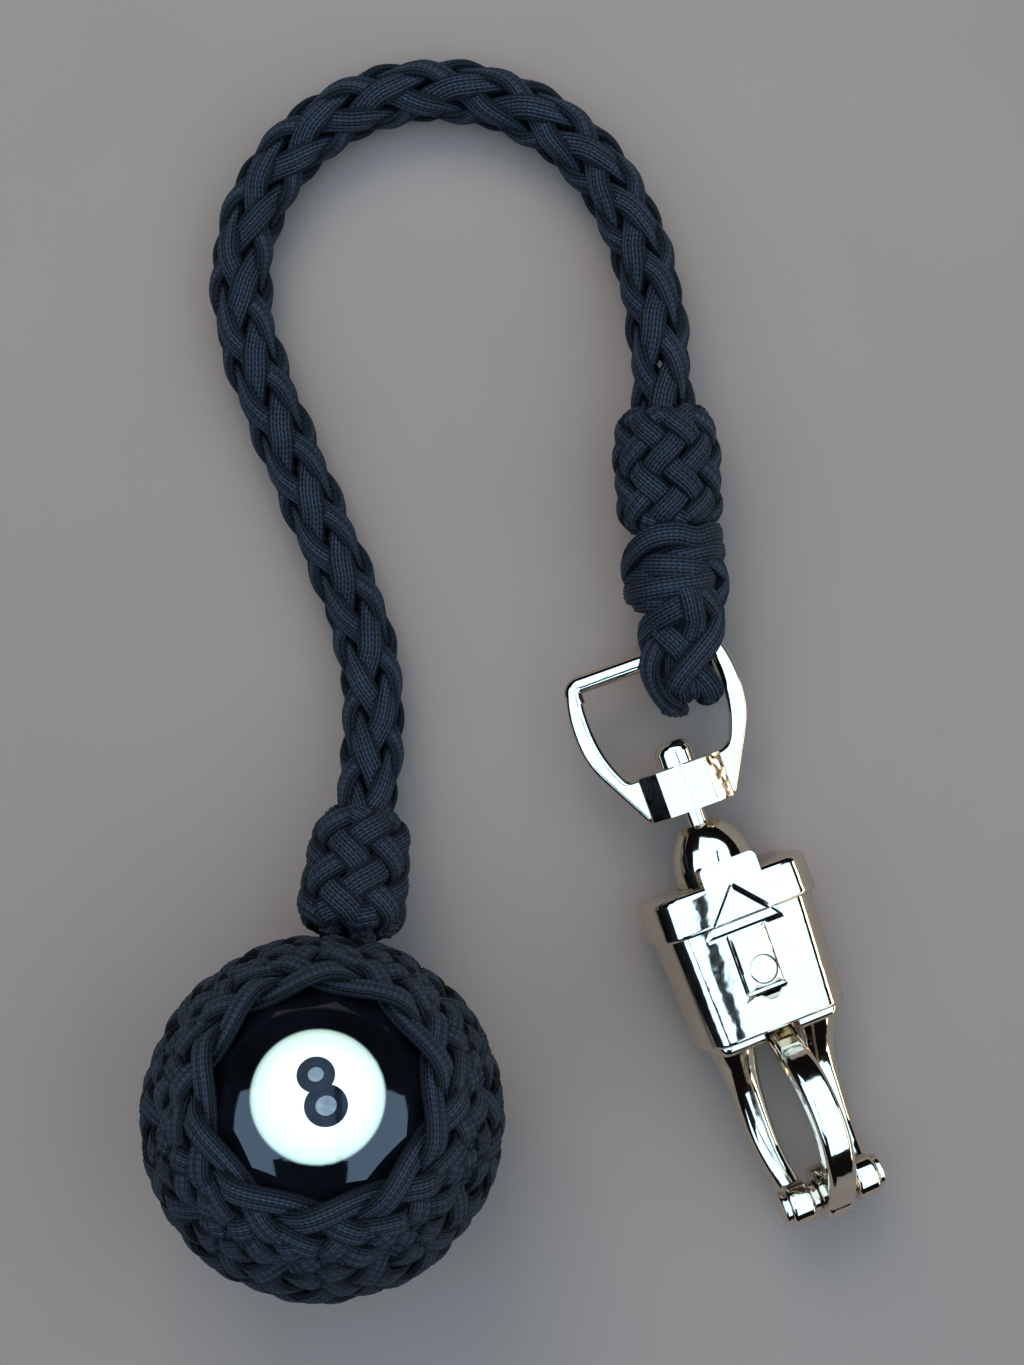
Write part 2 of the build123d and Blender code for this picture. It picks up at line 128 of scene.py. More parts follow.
def braided_nylon_sheath():
    """Braided nylon sheath of utility cord: dull slate threads in rows of small slanted stitches, with painted
    shade in the grooves and at the strap's edges.
    """
    material, tree, shader = new_material(
        "braided_nylon_sheath",
        Roughness=0.62,
        Specular_IOR_Level=0.16,
        Sheen_Weight=0.03,
        Sheen_Roughness=0.4,
    )
    # Real rows are about 0.4 mm wide. They are drawn as coarse as they have to be to show.
    row_width = 0.66 * MM
    stitch_length = 1.0 * MM
    slant = 0.55
    stitch_share = 0.19
    blotch_size, blotch_share = 9 * MM, 0.5
    fuzz_size, fuzz_share, fuzz_relief = 0.35 * MM, 0.45, 0.3
    uv = add_node(tree, "UVMap", {"uv_map": "sheath"})
    parts = add_node(tree, "SeparateXYZ", inputs={0: uv.outputs[0]})
    along, across = parts.outputs[0], parts.outputs[1]
    zigzag = add_node(tree, "Math", {"operation": "PINGPONG"}, {0: across, 1: row_width})
    lean = add_node(
        tree,
        "Math",
        {"operation": "MULTIPLY_ADD"},
        {0: zigzag.outputs[0], 1: slant * stitch_length / row_width, 2: along},
    )
    turns = add_node(
        tree, "Math", {"operation": "MULTIPLY"}, {0: lean.outputs[0], 1: 2 * math.pi / stitch_length}
    )
    stitch = add_node(tree, "Math", {"operation": "SINE"}, {0: turns.outputs[0]})
    row_turns = add_node(tree, "Math", {"operation": "MULTIPLY"}, {0: across, 1: math.pi / row_width})
    row_wave = add_node(tree, "Math", {"operation": "SINE"}, {0: row_turns.outputs[0]})
    row = add_node(tree, "Math", {"operation": "ABSOLUTE"}, {0: row_wave.outputs[0]})
    height = add_node(
        tree,
        "Math",
        {"operation": "MULTIPLY_ADD"},
        {0: stitch.outputs[0], 1: stitch_share, 2: row.outputs[0]},
    )
    place = add_node(tree, "TexCoord").outputs["Object"]
    blotch = add_node(
        tree,
        "TexNoise",
        inputs={"Vector": place, "Scale": 1 / blotch_size, "Detail": 3.0, "Roughness": 0.6},
    )
    fuzz = add_node(
        tree,
        "TexNoise",
        inputs={"Vector": place, "Scale": 1 / fuzz_size, "Detail": 2.0, "Roughness": 0.7},
    )
    # Painted shade: the stitch and row height also sets the colour, so the grooves between rows and stitches are
    # painted darker; the blotches add the nylon's own uneven tone
    blotches_and_groove_shade = add_node(
        tree,
        "Math",
        {"operation": "MULTIPLY_ADD"},
        {0: blotch.outputs[0], 1: blotch_share, 2: height.outputs[0]},
    )
    speckled = add_node(
        tree,
        "Math",
        {"operation": "MULTIPLY_ADD"},
        {0: fuzz.outputs[0], 1: fuzz_share, 2: blotches_and_groove_shade.outputs[0]},
    )
    # Painted shade: the sheath's colour is darkened towards the strap's edges, where the strap turns down from the
    # light and its neighbours shade it
    aside = add_node(tree, "Math", {"operation": "ABSOLUTE"}, {0: across})
    edge = add_node(
        tree,
        "MapRange",
        {"interpolation_type": "SMOOTHSTEP"},
        {
            "Value": aside.outputs[0],
            "From Min": 1.35 * MM,
            "From Max": 2.5 * MM,
            "To Min": 0.0,
            "To Max": -0.95,
        },
    )
    tone_with_painted_shade = add_node(tree, "Math", {"operation": "ADD"}, {0: speckled.outputs[0], 1: edge.outputs[0]})
    shade = add_node(
        tree, "MapRange", inputs={"Value": tone_with_painted_shade.outputs[0], "From Min": 0.1, "From Max": 1.7}
    )
    # The ramp runs from near black, the painted shade of grooves and strap edges, to slate on the threads' tops
    colour = add_node(tree, "ValToRGB", inputs={0: shade.outputs[0]})
    set_stops(colour, [(0.0, "010101"), (0.42, "0C0D10"), (0.75, "1D2127"), (1.0, "33383F")])
    tree.links.new(colour.outputs[0], shader.inputs["Base Color"])
    relief = add_node(
        tree,
        "Math",
        {"operation": "MULTIPLY_ADD"},
        {0: fuzz.outputs[0], 1: fuzz_relief, 2: height.outputs[0]},
    )
    bump = add_node(
        tree, "Bump", inputs={"Strength": 0.9, "Distance": 0.2 * MM, "Height": relief.outputs[0]}
    )
    tree.links.new(bump.outputs[0], shader.inputs["Normal"])
    return material


def polished_phenolic_black():
    """Cast phenolic resin, ground and polished: deep black with a wet gloss and fine handling marks."""
    material, tree, shader = new_material("polished_phenolic_black", Roughness=0.045, IOR=1.56)
    cloud_size = 6 * MM
    mark_size = 1.4 * MM
    place = add_node(tree, "TexCoord").outputs["Object"]
    cloud = add_node(tree, "TexNoise", inputs={"Vector": place, "Scale": 1 / cloud_size, "Detail": 6.0})
    colour = add_node(tree, "ValToRGB", inputs={0: cloud.outputs[0]})
    set_stops(colour, [(0.3, "050506"), (0.75, "0B0C0F")])
    tree.links.new(colour.outputs[0], shader.inputs["Base Color"])
    marks = add_node(
        tree,
        "TexNoise",
        inputs={"Vector": place, "Scale": 1 / mark_size, "Detail": 5.0, "Distortion": 1.5},
    )
    gloss = add_node(
        tree,
        "MapRange",
        inputs={
            "Value": marks.outputs[0],
            "From Min": 0.3,
            "From Max": 0.8,
            "To Min": 0.03,
            "To Max": 0.1,
        },
    )
    tree.links.new(gloss.outputs[0], shader.inputs["Roughness"])
    bump = add_node(
        tree, "Bump", inputs={"Strength": 0.05, "Distance": 0.05 * MM, "Height": marks.outputs[0]}
    )
    tree.links.new(bump.outputs[0], shader.inputs["Normal"])
    return material


def polished_phenolic_white():
    """White phenolic of the number spots, running to pale green at the rim, where it meets the black."""
    material, tree, shader = new_material("polished_phenolic_white", Roughness=0.06, IOR=1.6)
    cloud_size = 3 * MM
    spot_low, spot_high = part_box("number_spot_front")
    radius = (spot_high.x - spot_low.x) / 2
    place = add_node(tree, "TexCoord").outputs["Object"]
    offset = add_node(tree, "VectorMath", {"operation": "SUBTRACT"}, {0: place, 1: BALL_CENTRE})
    across = add_node(tree, "VectorMath", {"operation": "CROSS_PRODUCT"}, {0: offset.outputs[0], 1: POLE})
    reach = add_node(tree, "VectorMath", {"operation": "LENGTH"}, {0: across.outputs[0]})
    share = add_node(
        tree, "MapRange", inputs={"Value": reach.outputs["Value"], "From Min": 0.0, "From Max": radius}
    )
    colour = add_node(tree, "ValToRGB", inputs={0: share.outputs[0]})
    set_stops(
        colour, [(0.0, "F6F2E2"), (0.7, "EFEBD6"), (0.9, "DDE0C2"), (0.965, "B9BF9F"), (0.99, "333B33")]
    )
    tree.links.new(colour.outputs[0], shader.inputs["Base Color"])
    cloud = add_node(tree, "TexNoise", inputs={"Vector": place, "Scale": 1 / cloud_size, "Detail": 4.0})
    bump = add_node(
        tree, "Bump", inputs={"Strength": 0.04, "Distance": 0.05 * MM, "Height": cloud.outputs[0]}
    )
    tree.links.new(bump.outputs[0], shader.inputs["Normal"])
    return material


def polished_enamel(name, roughness, specular, cloud_size, stops):
    """Number enamel let into the white spot and polished with it, faintly clouded."""
    material, tree, shader = new_material(name, Roughness=roughness, Specular_IOR_Level=specular)
    place = add_node(tree, "TexCoord").outputs["Object"]
    cloud = add_node(tree, "TexNoise", inputs={"Vector": place, "Scale": 1 / cloud_size, "Detail": 3.0})
    colour = add_node(tree, "ValToRGB", inputs={0: cloud.outputs[0]})
    set_stops(colour, stops)
    tree.links.new(colour.outputs[0], shader.inputs["Base Color"])
    return material


def bright_nickel(name, tint, roughness, crown=0.0):
    """Zinc casting, barrel-polished and plated with bright nickel: mirror gloss over casting ripples."""
    material, tree, shader = new_material(name, Metallic=1.0, Roughness=roughness)
    wear_size = 5 * MM
    scuff_size = 1.2 * MM
    ripple_size = 4.5 * MM
    scuffed_roughness = roughness * 2.2
    place = add_node(tree, "TexCoord").outputs["Object"]
    wear = add_node(
        tree,
        "TexNoise",
        inputs={"Vector": place, "Scale": 1 / wear_size, "Detail": 5.0, "Roughness": 0.65},
    )
    colour = add_node(tree, "ValToRGB", inputs={0: wear.outputs[0]})
    set_stops(colour, [(0.25, tint[0]), (0.75, tint[1])])
    tree.links.new(colour.outputs[0], shader.inputs["Base Color"])
    scuff = add_node(tree, "TexNoise", inputs={"Vector": place, "Scale": 1 / scuff_size, "Detail": 4.0})
    gloss = add_node(
        tree,
        "MapRange",
        inputs={
            "Value": scuff.outputs[0],
            "From Min": 0.35,
            "From Max": 0.8,
            "To Min": roughness,
            "To Max": scuffed_roughness,
        },
    )
    tree.links.new(gloss.outputs[0], shader.inputs["Roughness"])
    ripple = add_node(tree, "TexNoise", inputs={"Vector": place, "Scale": 1 / ripple_size, "Detail": 2.0})
    bump = add_node(
        tree, "Bump", inputs={"Strength": 0.25, "Distance": 0.3 * MM, "Height": ripple.outputs[0]}
    )
    tree.links.new(bump.outputs[0], shader.inputs["Normal"])
    if crown:
        # Polishing leaves the flat faces faintly crowned from side to side
        offset = add_node(tree, "VectorMath", {"operation": "SUBTRACT"}, {0: place, 1: SWIVEL})
        dot = add_node(
            tree, "VectorMath", {"operation": "DOT_PRODUCT"}, {0: offset.outputs[0], 1: SNAP_SIDE}
        )
        side = dot.outputs["Value"]
        squared = add_node(tree, "Math", {"operation": "MULTIPLY"}, {0: side, 1: side})
        fall = add_node(tree, "Math", {"operation": "MULTIPLY"}, {0: squared.outputs[0], 1: -crown / 2})
        rounded = add_node(
            tree, "Bump", inputs={"Strength": 1.0, "Distance": 1.0, "Height": fall.outputs[0]}
        )
        tree.links.new(rounded.outputs[0], bump.inputs["Normal"])
    return material


def seamless_paper():
    """Pale grey studio paper, dull and very slightly mottled."""
    material, tree, shader = new_material("seamless_paper", Roughness=0.9)
    mottle_size = 60 * MM
    place = add_node(tree, "TexCoord").outputs["Object"]
    mottle = add_node(tree, "TexNoise", inputs={"Vector": place, "Scale": 1 / mottle_size, "Detail": 2.0})
    colour = add_node(tree, "ValToRGB", inputs={0: mottle.outputs[0]})
    set_stops(colour, [(0.3, "847061"), (0.7, "877364")])
    tree.links.new(colour.outputs[0], shader.inputs["Base Color"])
    return material


# Stage: camera, floor and lights

CAMERA_PLACE = (33.6 * MM, 77.3 * MM, 490 * MM)
CAMERA_LENS = 68.4
CAMERA_SENSOR = 36
CAMERA_NEAR = 10 * MM
FLOOR_SIZE = 3.0
SKY_HEIGHT = 1.0
SKY_RADIANCE = 3.0
SKY_COLOUR = "B2D8FF"
# The window's panes, each from its near left corner to its far right one
SKY_PANES = {
    "sky_middle": ((-1.7, -0.4), (0.22, 0.7)),
    "sky_east": ((0.31, -0.4), (2.2, 0.7)),
    "sky_left": ((-1.7, -1.25), (-0.6, -0.4)),
    "sky_right": ((0.4, -1.25), (2.2, -0.4)),
    "sky_far": ((-0.9, 0.7), (1.3, 1.5)),
}

camera = bpy.data.objects.new("camera", bpy.data.cameras.new("camera"))
camera.location = CAMERA_PLACE
camera.data.lens = CAMERA_LENS
camera.data.sensor_width = CAMERA_SENSOR
camera.data.clip_start = CAMERA_NEAR
bpy.context.scene.collection.objects.link(camera)
bpy.context.scene.camera = camera


def add_floor():
    """A wide flat sheet of paper under the object."""
    mesh = bmesh.new()
    bmesh.ops.create_grid(mesh, x_segments=1, y_segments=1, size=FLOOR_SIZE)
    data = bpy.data.meshes.new("floor")
    mesh.to_mesh(data)
    mesh.free()
    data.materials.append(seamless_paper())
    floor = bpy.data.objects.new("floor", data)
    bpy.context.scene.collection.objects.link(floor)


def add_panel(name, place, target, width, height, radiance, colour):
    """A soft rectangular light at a place, facing a target, as bright as its radiance."""
    light = bpy.data.lights.new(name, "AREA")
    light.shape = "RECTANGLE"
    light.size = width
    light.size_y = height
    light.energy = radiance * math.pi * width * height
    light.color = linear(colour)[:3]
    holder = bpy.data.objects.new(name, light)
    holder.location = place
    holder.rotation_euler = (Vector(target) - Vector(place)).to_track_quat("-Z", "Y").to_euler()
    bpy.context.scene.collection.objects.link(holder)
    return holder


def add_world():
    """Dim surroundings, lighter overhead and dark at the horizon, for the metal to mirror."""
    world = bpy.data.worlds.new("surroundings")
    bpy.context.scene.world = world
    world.use_nodes = True
    tree = world.node_tree
    place = add_node(tree, "TexCoord")
    parts = add_node(tree, "SeparateXYZ", inputs={0: place.outputs["Generated"]})
    height = parts.outputs[2]
    share = add_node(tree, "MapRange", inputs={"Value": height, "From Min": -1.0, "From Max": 1.0})
    colour = add_node(tree, "ValToRGB", inputs={0: share.outputs[0]})
    set_stops(colour, [(0.5, "0E0D0C"), (0.7, "101010"), (0.85, "1B1D20"), (1.0, "24282E")])
    tree.links.new(colour.outputs[0], tree.nodes["Background"].inputs[0])


add_floor()
add_world()
for name, (low, high) in SKY_PANES.items():
    middle = ((low[0] + high[0]) / 2, (low[1] + high[1]) / 2)
    size = (high[0] - low[0], high[1] - low[1])
    add_panel(name, (*middle, SKY_HEIGHT), (*middle, 0), *size, SKY_RADIANCE, SKY_COLOUR)
key = add_panel(
    "key_panel",
    place=(-0.25, 0.95, 0.9),
    target=(0.03, 0.08, 0),
    width=0.7,
    height=0.6,
    radiance=5.0,
    colour="FFEBD2",
)
# The key lights the cord but isn't mirrored, because its glare would cover the numeral
key.visible_glossy = False
add_panel(
    "side_card",
    place=(1.3, -0.2, 0.16),
    target=(0.05, 0.0, 0.02),
    width=1.4,
    height=0.22,
    radiance=4.0,
    colour="FFF4E6",
)
bpy.context.scene.view_settings.view_transform = "Standard"


# Cord: a flattened strap with lengthwise ribs, laid along a path

RIBS = 5
POINTS_PER_RIB = 4
UNDERSIDE_POINTS = 6
TOP_POINTS = RIBS * POINTS_PER_RIB
PROFILE_POINTS = TOP_POINTS + UNDERSIDE_POINTS
ROUNDNESS = 2.5  # power of the squared oval that a strap is in section
RIB_EDGE = 0.2  # share of the half thickness above which the ribs show
CURVE_STEPS = 60
WELD_GAP = 0.002 * MM


def rib_depth(depth, ease, over):
    """Depth of a strap's ribs from millimetres: they lie flatter where the strap is over than under."""
    return MM * (depth - ease * over)


def lay_strap(places, outward, width, thickness, depth, cup=0.0, closed=False):
    """A strap laid along places, its ribbed face turned outward. Its width and ribs may vary along it."""
    steps = len(places) - 1
    mesh = bmesh.new()
    bmesh.ops.create_grid(mesh, x_segments=PROFILE_POINTS, y_segments=steps, size=0.5)
    data = bpy.data.meshes.new("strap")
    mesh.to_mesh(data)
    mesh.free()
    flat = np.zeros(len(data.vertices) * 3)
    data.vertices.foreach_get("co", flat)
    grid = flat.reshape(-1, 3) + 0.5
    corner = np.rint(grid[:, 0] * PROFILE_POINTS).astype(int)
    station = np.rint(grid[:, 1] * steps).astype(int)
    # The section runs from 1 to -1 over the top and back again underneath
    on_top = corner % PROFILE_POINTS <= TOP_POINTS
    under = (corner - TOP_POINTS) * 2 / UNDERSIDE_POINTS - 1
    x = np.where(on_top, 1 - 2 * (corner % PROFILE_POINTS) / TOP_POINTS, under)
    y = np.where(on_top, 1, -1) * (1 - np.abs(x) ** ROUNDNESS) ** (1 / ROUNDNESS)
    along = np.gradient(places, axis=0)
    if closed:
        along[0] = along[-1] = places[1] - places[-2]
    along /= np.linalg.norm(along, axis=1)[:, None]
    normal = outward - (outward * along).sum(1)[:, None] * along
    normal /= np.linalg.norm(normal, axis=1)[:, None]
    side = np.cross(normal, along)
    half_width = np.broadcast_to(np.asarray(width) / 2, steps + 1)[station]
    ribs = np.where(y > RIB_EDGE, np.cos(math.pi * RIBS * (x + 1)), 0.0)
    ribs = ribs * np.broadcast_to(depth, steps + 1)[station]
    sideways = x * half_width
    upward = y * thickness / 2 - ribs - cup * sideways**2 / 2
    laid = places[station] + side[station] * sideways[:, None] + normal[station] * upward[:, None]
    data.vertices.foreach_set("co", laid.ravel())
    lengths = np.concatenate([[0], np.cumsum(np.linalg.norm(np.diff(places, axis=0), axis=1))])
    corners = np.zeros(len(data.loops), int)
    data.loops.foreach_get("vertex_index", corners)
    layer = data.uv_layers.new(name="sheath")
    layer.data.foreach_set("uv", np.stack([lengths[station], sideways], 1)[corners].ravel())
    return data


def finish_cord(name, straps, material, closed=False):
    """Joins straps in one piece, with their seams welded and the ends of open ones filled."""
    mesh = bmesh.new()
    for data in straps:
        mesh.from_mesh(data)
        bpy.data.meshes.remove(data)
    bmesh.ops.remove_doubles(mesh, verts=mesh.verts[:], dist=WELD_GAP)
    if not closed:
        bmesh.ops.holes_fill(mesh, edges=[edge for edge in mesh.edges if edge.is_boundary])
    bmesh.ops.recalc_face_normals(mesh, faces=mesh.faces[:])
    data = bpy.data.meshes.new(name)
    mesh.to_mesh(data)
    mesh.free()
    data.materials.append(material)
    data.shade_smooth()
    piece = bpy.data.objects.new(name, data)
    bpy.context.scene.collection.objects.link(piece)
    return piece


def centreline(points):
    """The smooth line of a cord that follows these points."""
    curve = bpy.data.curves.new("route", "CURVE")
    curve.dimensions = "3D"
    curve.resolution_u = CURVE_STEPS
    spline = curve.splines.new("NURBS")
    spline.points.add(len(points) - 1)
    for control, place in zip(spline.points, points):
        control.co = (*place, 1)
    spline.order_u = 3
    spline.use_endpoint_u = True
    guide = bpy.data.objects.new("route", curve)
    bpy.context.scene.collection.objects.link(guide)
    bpy.context.view_layer.update()
    mesh = bpy.data.meshes.new_from_object(guide)
    line = np.array([point.co for point in mesh.vertices])
    bpy.data.objects.remove(guide)
    bpy.data.curves.remove(curve)
    bpy.data.meshes.remove(mesh)
    return line


def spaced(line, step):
    """The same line with its points evenly spaced, about a step apart, and how far along each is."""
    lengths = np.concatenate([[0], np.cumsum(np.linalg.norm(np.diff(line, axis=0), axis=1))])
    count = round(lengths[-1] / step) + 1
    reach = np.linspace(0, lengths[-1], count)
    return np.stack([np.interp(reach, lengths, line[:, axis]) for axis in range(3)], 1), reach


# Lanyard: a hollow round braid of eight straps, four each way, over one and under one

EXIT_RUN = 12.0 * MM
ENTRY_RUN = 15.0 * MM
LANYARD_START = BALL_CENTRE + EXIT_WAY * (BALL_RADIUS + COVER_THICKNESS)
BRAID_START = LANYARD_START + EXIT_WAY * (NECK_LENGTH + LOWER_KNOT_LENGTH)
ROUTE = [
    LANYARD_START,
    LANYARD_START + EXIT_WAY * (NECK_LENGTH + LOWER_KNOT_LENGTH) / 2,
    BRAID_START,
    BRAID_START + EXIT_WAY * EXIT_RUN,
    Vector((0.0077, 0.0786, 0.0066)),
    Vector((0.0046, 0.0910, 0.006)),
    Vector((-0.0008, 0.1040, 0.006)),
    Vector((-0.0067, 0.1178, 0.006)),
    Vector((-0.0123, 0.1314, 0.006)),
    Vector((-0.0168, 0.1444, 0.006)),
    Vector((-0.0171, 0.1582, 0.006)),
    Vector((-0.0122, 0.1712, 0.006)),
    Vector((-0.0023, 0.1817, 0.006)),
    Vector((0.0109, 0.1875, 0.006)),
    Vector((0.0254, 0.1880, 0.006)),
    Vector((0.0390, 0.1832, 0.006)),
    Vector((0.0504, 0.1734, 0.006)),
    Vector((0.0576, 0.1590, 0.0074)),
    UPPER_KNOT_START - KNOT_WAY * ENTRY_RUN,
    UPPER_KNOT_START,
    UPPER_KNOT_START + KNOT_WAY * UPPER_KNOT_LENGTH,
    UPPER_KNOT_START + KNOT_WAY * (UPPER_KNOT_LENGTH + STOPPER_LENGTH),
]
STRAPS_EACH_WAY = 4
CELL_PITCH = 14.0 * MM
BRAID_RADIUS = 4.25 * MM
BRAID_LIFT = 0.85 * MM
BRAID_STRAP_WIDTH = 4.9 * MM
BRAID_STRAP_THICKNESS = 1.7 * MM
BRAID_RIBS = (0.14, 0.06)
BRAID_PINCH = 0.1
BRAID_CUP = 0.13 / MM
BRAID_STEP = 0.72 * MM
STRAIGHTENING = 0.14
ROLL = math.radians(45)
ROLL_PERIOD = 190 * MM


def braid_straps(line, reach):
    """The eight straps of the braid. Each is wider and runs straighter where it lies over than under."""
    along = np.gradient(line, axis=0)
    along /= np.linalg.norm(along, axis=1)[:, None]
    up = np.array([0, 0, 1.0]) - along[:, 2:] * along
    up /= np.linalg.norm(up, axis=1)[:, None]
    right = np.cross(along, up)
    cell = 2 * math.pi * reach / CELL_PITCH
    roll = ROLL * (0.5 + 0.5 * np.cos(2 * math.pi * reach / ROLL_PERIOD))
    straps = []
    for way in (1, -1):
        over = way * np.cos(cell)
        for strand in range(STRAPS_EACH_WAY):
            start = strand * 2 * math.pi / STRAPS_EACH_WAY
            angle = way * cell / STRAPS_EACH_WAY + start + roll - STRAIGHTENING * np.sin(cell)
            outward = up * np.cos(angle)[:, None] + right * np.sin(angle)[:, None]
            places = line + outward * (BRAID_RADIUS + BRAID_LIFT * over)[:, None]
            width = BRAID_STRAP_WIDTH * (1 - BRAID_PINCH * (1 - over))
            ribs = rib_depth(*BRAID_RIBS, over)
            straps.append(lay_strap(places, outward, width, BRAID_STRAP_THICKNESS, ribs, BRAID_CUP))
    return straps


sheath = braided_nylon_sheath()
route_line, route_reach = spaced(centreline(ROUTE), BRAID_STEP)
lanyard = finish_cord("lanyard_strands", braid_straps(route_line, route_reach), sheath)
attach(lanyard, "leash")
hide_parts("lanyard_braid", "cover_neck")


# Cover: two straps, each led round and round the ball, over one and under one, till it closes

COVER_LEADS = 9
COVER_BIGHTS = 10
COVER_LATITUDE = math.radians(41.8)
COVER_RISE = math.radians(3.4)  # how far the whole weave sits towards the upper pole
COVER_BEND = 0.32  # share of the way from straight passes to zigzag ones
COVER_FLATNESS = 0.95
COVER_ROW_SHIFT = math.radians(5.3)
COVER_STRAP_WIDTH = 4.7 * MM
COVER_STRAP_THICKNESS = 1.75 * MM
COVER_NARROW = 0.88
COVER_SPREAD = 0.36
COVER_RIBS = (0.14, 0.05)
COVER_LIFT = 1.25 * MM
COVER_SINK = 0.1 * MM
COVER_STEPS = 2340
CROSSING_SAMPLES = 4000
COVER_TURN = math.radians(22.4)
COVER_LEAN = LEAN + math.radians(2.2)
COVER_POLE = UP * math.cos(COVER_LEAN) + EXIT_FLAT * math.sin(COVER_LEAN)
COVER_EXIT = EXIT_FLAT * math.cos(COVER_LEAN) - UP * math.sin(COVER_LEAN)


def row_latitude(bearing):
    """Latitude of a pass of the cover, which runs nearly straight from its upper bight to its lower."""
    wave = np.clip(bearing * COVER_BIGHTS / COVER_LEADS, 0, math.pi)
    straight = np.arctan(math.tan(COVER_LATITUDE) * np.cos(wave))
    bent = COVER_LATITUDE * np.arcsin(COVER_FLATNESS * np.cos(wave)) / math.asin(COVER_FLATNESS)
    return straight + (bent - straight) * COVER_BEND


def row_crossings(shift):
    """Bearings, from a row's upper bight down one pass, at which it crosses the passes that come up."""
    span = math.pi * COVER_LEADS / COVER_BIGHTS
    bearing = np.linspace(0, span, CROSSING_SAMPLES)
    found = []
    for bight in range(1, COVER_LEADS):
        meeting = 2 * math.pi / COVER_BIGHTS * bight - bearing
        for apart in (0, 2 * shift):
            gap = row_latitude(meeting) - row_latitude(bearing) - apart
            gap = np.where((meeting < 0) | (meeting > span), np.nan, gap)
            turns = np.flatnonzero(np.diff(np.sign(gap)) > 0)
            found.extend(bearing[turns])
    return sorted(found)


def cover_straps():
    """The two straps of the cover. Their bights make two nested rows round each ten-sided window."""
    straps = []
    cycle = 2 * math.pi * COVER_LEADS / COVER_BIGHTS
    second = COVER_POLE.cross(COVER_EXIT)
    for row in (1, -1):
        turn = np.linspace(0, 2 * math.pi, COVER_STEPS + 1)
        bearing = COVER_LEADS * turn
        phase = bearing % cycle
        latitude = row_latitude(np.minimum(phase, cycle - phase)) + COVER_RISE + row * COVER_ROW_SHIFT
        down = np.array(row_crossings(row * COVER_ROW_SHIFT))
        sides = -row * (-1.0) ** np.arange(len(down))
        stations = np.concatenate([[-down[0]], down, cycle - down[::-1], [cycle + down[0]]])
        levels = np.concatenate([[-sides[0]], sides, -sides[::-1], [sides[0]]])
        before = np.searchsorted(stations, phase, side="right") - 1
        share = (phase - stations[before]) / (stations[before + 1] - stations[before])
        ease = 0.5 - 0.5 * np.cos(math.pi * share)
        over = levels[before] + (levels[before + 1] - levels[before]) * ease
        flat_way = bearing + COVER_TURN
        flat = np.outer(np.cos(flat_way), COVER_EXIT) + np.outer(np.sin(flat_way), second)
        outward = np.sin(latitude)[:, None] * np.array(COVER_POLE) + np.cos(latitude)[:, None] * flat
        middle = BALL_RADIUS + COVER_THICKNESS / 2 - COVER_SINK
        places = np.array(BALL_CENTRE) + outward * (middle + COVER_LIFT * over)[:, None]
        # The strap spreads towards the equator, where its passes lie furthest apart
        width = COVER_STRAP_WIDTH * (COVER_NARROW + COVER_SPREAD * np.cos(latitude) ** 2)
        ribs = rib_depth(*COVER_RIBS, over)
        straps.append(lay_strap(places, outward, width, COVER_STRAP_THICKNESS, ribs, closed=True))
    return straps


for name, data in zip(("cover_outer_strap", "cover_inner_strap"), cover_straps()):
    cover = finish_cord(name, [data], sheath, closed=True)
    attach(cover, "leash")
    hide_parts("ball_cover")


# Woven knots: one strap led round and round a barrel, over one and under one, till it closes

BARREL_LEADS = 5
BARREL_FLATNESS = 0.9
BARREL_RIBS = (0.15, 0.05)
BARREL_CUP = 0.09 / MM
WAY_SHARPNESS = 3  # how suddenly a strap changes from one slant to the other at its bights
RIM_MARGIN = 0.42
RIM_DRAWN = 1.1 * MM
RIM_TURN = 0.55
LOWER_WRAP_START = 0.7 * MM


def woven_line(bights, steps, swing, rise):
    """Bearing, height share and lift share of a woven knot's strap."""
    turn = np.linspace(0, 2 * math.pi, steps + 1)
    bearing = BARREL_LEADS * turn
    wave = bights * turn
    height = np.arcsin(BARREL_FLATNESS * np.cos(wave)) / math.asin(BARREL_FLATNESS)
    way = np.tanh(WAY_SHARPNESS / math.sin(math.pi / BARREL_LEADS) * np.sin(wave))
    over = np.cos(bights * bearing) * way
    swung = bearing + swing * way * np.sin(bights * bearing)
    risen = height - rise * np.sin(bights * bearing)
    return swung, risen, over


def barrel_strap(start, way, length, radii, bights, steps, width, thickness, lift, swing, rise, turn):
    """The strap of a barrel-shaped woven knot round an axis, its rims drawn in."""
    bearing, height, over = woven_line(bights, steps, swing, rise)
    bearing = bearing + turn
    up = UP - way * way.z
    up.normalize()
    right = way.cross(up)
    flat = np.outer(np.cos(bearing), up) + np.outer(np.sin(bearing), right)
    reach = length / 2 - (length / 2 - width * RIM_MARGIN) * height
    outer = np.interp(reach / length, [0, 0.5, 1], radii)
    drawn = RIM_DRAWN * np.abs(height) ** 6
    radius = outer - thickness / 2 - lift - drawn + lift * over
    places = np.array(start) + np.outer(reach, way) + flat * radius[:, None]
    outward = flat - np.outer(RIM_TURN * height**5, way)
    ribs = rib_depth(*BARREL_RIBS, over)
    return lay_strap(places, outward, width, thickness, ribs, BARREL_CUP, closed=True)


# Tied strands: the stopper knot's wraps and the end loop's strands, laid on the knot's own form

